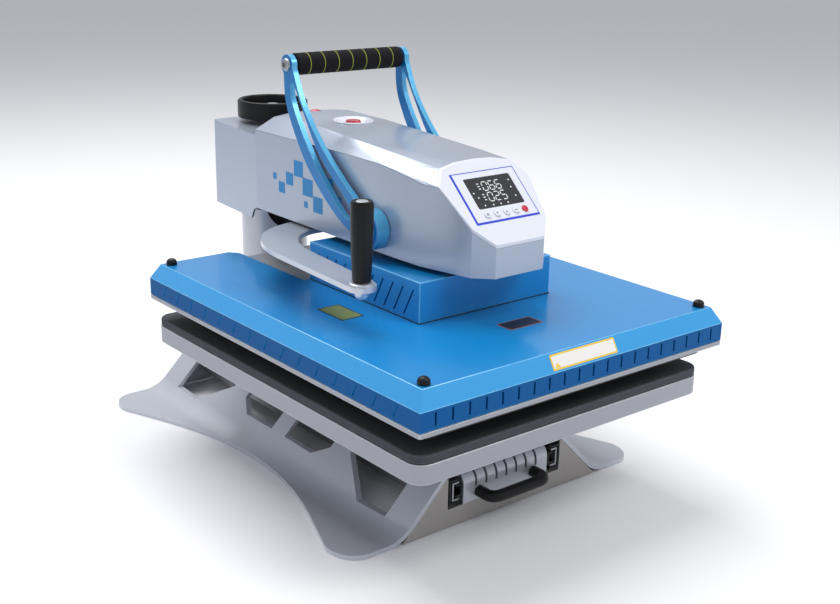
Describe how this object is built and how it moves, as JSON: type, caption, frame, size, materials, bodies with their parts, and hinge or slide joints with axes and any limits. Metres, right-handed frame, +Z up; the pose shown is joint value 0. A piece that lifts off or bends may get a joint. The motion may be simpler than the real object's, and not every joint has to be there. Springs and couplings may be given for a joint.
{
  "type": "swing-away heat press",
  "caption": "Heat press with a winged base, pull-out lower platen on slides, swinging head on a round column, toggle lever, heated upper platen, display panel and handwheel.",
  "frame": {"origin": "on the floor under the middle of the whole press", "axes": "+X to the operator's right, +Y away from the operator towards the column, +Z up"},
  "size_m": [0.421, 0.6312, 0.4619],
  "materials": {
    "silver_paint": "satin silver paint",
    "housing_paint": "satin silver-blue paint",
    "blue_paint": "gloss blue paint",
    "arm_blue": "metallic blue coat",
    "cast_aluminium": "machined",
    "heater_coat": "black non-stick coat",
    "bright_steel": "polished",
    "zinc_steel": "zinc plated",
    "shaft_steel": "black oxide",
    "silicone": "matt",
    "black_plastic": "satin",
    "foam": "matt foam",
    "white_plastic": "satin",
    "red_plastic": "gloss",
    "display_glass": "gloss",
    "insulation": "fibre board"
  },
  "bodies": {
    "base": {"base_left_wing": "silver_paint", "base_right_wing": "silver_paint", "base_front_panel": "silver_paint", "base_rear_panel": "silver_paint", "base_rear_deck": "silver_paint", "column": "silver_paint", "slide_bracket_left": "zinc_steel", "slide_bracket_right": "zinc_steel", "slide_outer_left": "zinc_steel", "slide_outer_right": "zinc_steel"},
    "slide_left": {"slide_middle_left": "zinc_steel"},
    "slide_right": {"slide_middle_right": "zinc_steel"},
    "drawer": {"slide_inner_left": "zinc_steel", "slide_inner_right": "zinc_steel", "drawer_tray": "zinc_steel", "drawer_front": "silver_paint", "drawer_handle": "black_plastic", "platen_pedestal": "zinc_steel", "lower_platen": "cast_aluminium", "silicone_pad": "silicone"},
    "head": {"pivot_shaft": "shaft_steel", "head_frame": "zinc_steel", "head_housing": "housing_paint", "head_top_cover": "housing_paint", "control_bezel": "white_plastic", "display_window": "display_glass", "button_dish": "white_plastic", "status_lamp": "red_plastic", "power_inlet": "black_plastic", "swing_plate": "bright_steel", "swing_bolt": "bright_steel"},
    "grip": {"swing_grip": "black_plastic"},
    "upper_platen": {"ram": "zinc_steel", "heater_back_plate": "bright_steel", "insulation_board": "insulation", "heater_plate": "heater_coat", "platen_trim_frame": "cast_aluminium", "platen_riser_box": "blue_paint", "upper_platen_cover": "blue_paint", "corner_cap_front_left": "black_plastic", "corner_cap_front_right": "black_plastic", "corner_cap_rear_left": "black_plastic", "corner_cap_rear_right": "black_plastic"},
    "lever": {"lever_axle": "zinc_steel", "lever_arm_left": "arm_blue", "lever_arm_right": "arm_blue", "lever_bolt_left": "bright_steel", "lever_bolt_right": "bright_steel", "lever_bar": "zinc_steel", "foam_grip": "foam"},
    "link": {"toggle_link": "zinc_steel"},
    "wheel": {"handwheel": "black_plastic", "adjusting_screw": "bright_steel"},
    "button": {"release_button": "red_plastic"},
    "rocker": {"power_rocker": "red_plastic"},
    "key_set": {"key_set": "white_plastic"},
    "key_down": {"key_down": "white_plastic"},
    "key_up": {"key_up": "white_plastic"},
    "key_mode": {"key_mode": "white_plastic"},
    "key_start": {"key_start": "red_plastic"}
  },
  "joints": [
    {"name": "drawer_pull", "type": "slide", "parent": "base", "child": "drawer", "axis": [0, -1, 0], "range_m": [0, 0.3]},
    {"name": "slide_left_run", "type": "slide", "parent": "base", "child": "slide_left", "axis": [0, -1, 0], "range_m": [0, 0.15]},
    {"name": "slide_right_run", "type": "slide", "parent": "base", "child": "slide_right", "axis": [0, -1, 0], "range_m": [0, 0.15]},
    {"name": "head_swing", "type": "hinge", "parent": "base", "child": "head", "pos_m": [0, 0.2456, 0.2], "axis": [0, 0, 1], "range_deg": [-90, 90]},
    {"name": "lever_throw", "type": "hinge", "parent": "head", "child": "lever", "pos_m": [0, -0.0704, 0.294], "axis": [1, 0, 0], "range_deg": [0, 110]},
    {"name": "platen_press", "type": "slide", "parent": "head", "child": "upper_platen", "axis": [0, 0, -1], "range_m": [0, 0.017]},
    {"name": "link_turn", "type": "hinge", "parent": "lever", "child": "link", "pos_m": [0, -0.07628, 0.3024], "axis": [1, 0, 0], "range_deg": [-110, 0]},
    {"name": "wheel_turn", "type": "hinge", "parent": "head", "child": "wheel", "pos_m": [0, 0.2456, 0.37], "axis": [0, 0, 1], "continuous": true},
    {"name": "grip_spin", "type": "hinge", "parent": "head", "child": "grip", "pos_m": [-0.1505, -0.1484, 0.3], "axis": [0, 0, 1], "continuous": true},
    {"name": "button_press", "type": "slide", "parent": "head", "child": "button", "axis": [0, 0, -1], "range_m": [0, 0.003], "stiffness_N_per_m": 300},
    {"name": "rocker_tip", "type": "hinge", "parent": "head", "child": "rocker", "pos_m": [0.018, 0.2909, 0.287], "axis": [-1, 0, 0], "range_deg": [0, 18]},
    {"name": "key_set_press", "type": "slide", "parent": "head", "child": "key_set", "axis": [0, 0.681, -0.7323], "range_m": [0, 0.0008], "stiffness_N_per_m": 500},
    {"name": "key_down_press", "type": "slide", "parent": "head", "child": "key_down", "axis": [0, 0.681, -0.7323], "range_m": [0, 0.0008], "stiffness_N_per_m": 500},
    {"name": "key_up_press", "type": "slide", "parent": "head", "child": "key_up", "axis": [0, 0.681, -0.7323], "range_m": [0, 0.0008], "stiffness_N_per_m": 500},
    {"name": "key_mode_press", "type": "slide", "parent": "head", "child": "key_mode", "axis": [0, 0.681, -0.7323], "range_m": [0, 0.0008], "stiffness_N_per_m": 500},
    {"name": "key_start_press", "type": "slide", "parent": "head", "child": "key_start", "axis": [0, 0.681, -0.7323], "range_m": [0, 0.0008], "stiffness_N_per_m": 500}
  ],
  "couplings": [
    {"joint": "slide_left_run", "follows": "drawer_pull", "ratio": 0.5},
    {"joint": "slide_right_run", "follows": "drawer_pull", "ratio": 0.5},
    {"joint": "platen_press", "follows": "lever_throw", "m_per_rad": 0.008751},
    {"joint": "link_turn", "follows": "lever_throw", "ratio": -1}
  ]
}
